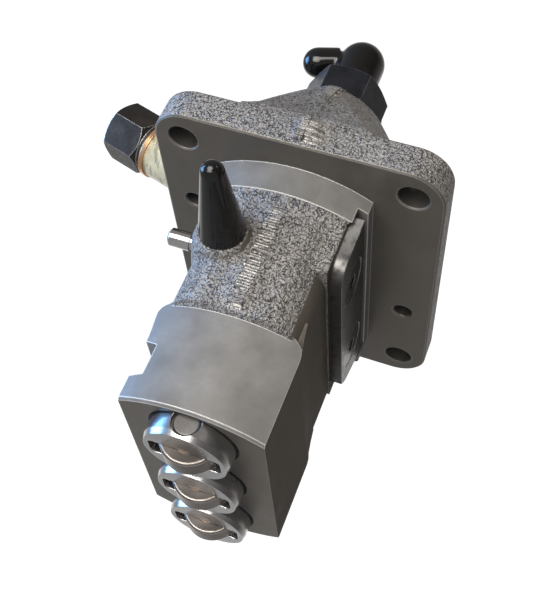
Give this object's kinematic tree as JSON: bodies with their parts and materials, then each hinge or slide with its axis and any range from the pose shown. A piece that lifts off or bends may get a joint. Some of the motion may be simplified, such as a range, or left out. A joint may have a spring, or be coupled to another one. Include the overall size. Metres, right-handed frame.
{
  "type": "diesel injection pump",
  "caption": "Flange-mounted in-line diesel injection pump with roller tappets, toothed control rack, side cover, angled fuel inlet and capped delivery outlets.",
  "frame": {"origin": "centre of the four flange holes on the flange's machined underside", "axes": "+Z along the plungers towards the delivery outlets, +X towards the rack's cone cap, +Y towards the side cover"},
  "size_m": [0.1187, 0.1142, 0.1438],
  "materials": {
    "cast_iron": "rough sand-cast surface, machined underside and guide",
    "ground_steel": "ground and hardened",
    "roller_steel": "ground roller with a fine lengthwise grain",
    "pin_steel": "polished",
    "bronze": "plain bronze",
    "spring_steel": "drawn wire",
    "seat_steel": "turned",
    "black_steel": "blackened, satin",
    "black_rubber": "glossy moulded",
    "black_plastic": "glossy moulded",
    "gasket": "thin fibre sheet",
    "cover_steel": "satin plate with a bright sheared edge",
    "pale_plating": "pale yellow-white plating, satin",
    "copper": "soft copper, two-tone",
    "nut_black": "black oxide, lightly worn"
  },
  "bodies": {
    "housing": {"housing": "cast_iron", "upper_seats": "seat_steel", "barrels": "ground_steel", "barrel_dowels": "pin_steel", "guide_pins": "pin_steel", "valve_seats": "ground_steel", "holders": "black_steel", "holder_seals": "black_rubber", "dust_cap_1": "black_rubber", "dust_cap_2": "black_rubber", "dust_cap_3": "black_rubber", "cone_cap": "black_plastic", "rack_plug": "seat_steel", "side_cover": "cover_steel", "cover_gasket": "gasket", "cover_screws": "cover_steel", "inlet_fitting": "pale_plating", "copper_washer": "copper", "inlet_nut": "nut_black"},
    "rack": {"rack": "ground_steel", "link_pin": "pin_steel"},
    "tappet_1": {"tappet_1": "ground_steel", "roller_pin_1": "pin_steel", "shim_1": "pin_steel", "lower_seat_1": "seat_steel", "plunger_spring_1": "spring_steel"},
    "roller_1": {"roller_1": "roller_steel", "roller_bush_1": "bronze"},
    "plunger_1": {"plunger_1": "pin_steel"},
    "control_sleeve_1": {"control_sleeve_1": "seat_steel"},
    "valve_1": {"valve_1": "pin_steel", "valve_spring_1": "spring_steel"},
    "tappet_2": {"tappet_2": "ground_steel", "roller_pin_2": "pin_steel", "shim_2": "pin_steel", "lower_seat_2": "seat_steel", "plunger_spring_2": "spring_steel"},
    "roller_2": {"roller_2": "roller_steel", "roller_bush_2": "bronze"},
    "plunger_2": {"plunger_2": "pin_steel"},
    "control_sleeve_2": {"control_sleeve_2": "seat_steel"},
    "valve_2": {"valve_2": "pin_steel", "valve_spring_2": "spring_steel"},
    "tappet_3": {"tappet_3": "ground_steel", "roller_pin_3": "pin_steel", "shim_3": "pin_steel", "lower_seat_3": "seat_steel", "plunger_spring_3": "spring_steel"},
    "roller_3": {"roller_3": "roller_steel", "roller_bush_3": "bronze"},
    "plunger_3": {"plunger_3": "pin_steel"},
    "control_sleeve_3": {"control_sleeve_3": "seat_steel"},
    "valve_3": {"valve_3": "pin_steel", "valve_spring_3": "spring_steel"}
  },
  "joints": [
    {"name": "rack_slide", "type": "slide", "parent": "housing", "child": "rack", "axis": [1, 0, 0], "range_m": [-0.009, 0]},
    {"name": "tappet_lift_1", "type": "slide", "parent": "housing", "child": "tappet_1", "axis": [0, 0, 1], "range_m": [0, 0.007], "stiffness_N_per_m": 12000, "springref_m": -0.008, "deforming": ["plunger_spring_1"]},
    {"name": "roller_spin_1", "type": "hinge", "parent": "tappet_1", "child": "roller_1", "pos_m": [0.024, 0, -0.0735], "axis": [1, 0, 0], "continuous": true},
    {"name": "plunger_turn_1", "type": "hinge", "parent": "tappet_1", "child": "plunger_1", "pos_m": [0.024, 0, -0.04], "axis": [0, 0, 1], "range_deg": [-68, 0.5]},
    {"name": "sleeve_turn_1", "type": "hinge", "parent": "housing", "child": "control_sleeve_1", "pos_m": [0.024, 0, -0.024], "axis": [0, 0, 1], "range_deg": [-68, 0.5]},
    {"name": "valve_lift_1", "type": "slide", "parent": "housing", "child": "valve_1", "axis": [0, 0, 1], "range_m": [0, 0.002], "stiffness_N_per_m": 4000, "springref_m": -0.003, "deforming": ["valve_spring_1"]},
    {"name": "tappet_lift_2", "type": "slide", "parent": "housing", "child": "tappet_2", "axis": [0, 0, 1], "range_m": [0, 0.007], "stiffness_N_per_m": 12000, "springref_m": -0.008, "deforming": ["plunger_spring_2"]},
    {"name": "roller_spin_2", "type": "hinge", "parent": "tappet_2", "child": "roller_2", "pos_m": [0, 0, -0.0735], "axis": [1, 0, 0], "continuous": true},
    {"name": "plunger_turn_2", "type": "hinge", "parent": "tappet_2", "child": "plunger_2", "pos_m": [0, 0, -0.04], "axis": [0, 0, 1], "range_deg": [-68, 0.5]},
    {"name": "sleeve_turn_2", "type": "hinge", "parent": "housing", "child": "control_sleeve_2", "pos_m": [0, 0, -0.024], "axis": [0, 0, 1], "range_deg": [-68, 0.5]},
    {"name": "valve_lift_2", "type": "slide", "parent": "housing", "child": "valve_2", "axis": [0, 0, 1], "range_m": [0, 0.002], "stiffness_N_per_m": 4000, "springref_m": -0.003, "deforming": ["valve_spring_2"]},
    {"name": "tappet_lift_3", "type": "slide", "parent": "housing", "child": "tappet_3", "axis": [0, 0, 1], "range_m": [0, 0.007], "stiffness_N_per_m": 12000, "springref_m": -0.008, "deforming": ["plunger_spring_3"]},
    {"name": "roller_spin_3", "type": "hinge", "parent": "tappet_3", "child": "roller_3", "pos_m": [-0.024, 0, -0.0735], "axis": [1, 0, 0], "continuous": true},
    {"name": "plunger_turn_3", "type": "hinge", "parent": "tappet_3", "child": "plunger_3", "pos_m": [-0.024, 0, -0.04], "axis": [0, 0, 1], "range_deg": [-68, 0.5]},
    {"name": "sleeve_turn_3", "type": "hinge", "parent": "housing", "child": "control_sleeve_3", "pos_m": [-0.024, 0, -0.024], "axis": [0, 0, 1], "range_deg": [-68, 0.5]},
    {"name": "valve_lift_3", "type": "slide", "parent": "housing", "child": "valve_3", "axis": [0, 0, 1], "range_m": [0, 0.002], "stiffness_N_per_m": 4000, "springref_m": -0.003, "deforming": ["valve_spring_3"]}
  ],
  "couplings": [
    {"joint": "sleeve_turn_1", "follows": "rack_slide", "rad_per_m": 130.9},
    {"joint": "plunger_turn_1", "follows": "rack_slide", "rad_per_m": 130.9},
    {"joint": "sleeve_turn_2", "follows": "rack_slide", "rad_per_m": 130.9},
    {"joint": "plunger_turn_2", "follows": "rack_slide", "rad_per_m": 130.9},
    {"joint": "sleeve_turn_3", "follows": "rack_slide", "rad_per_m": 130.9},
    {"joint": "plunger_turn_3", "follows": "rack_slide", "rad_per_m": 130.9}
  ]
}
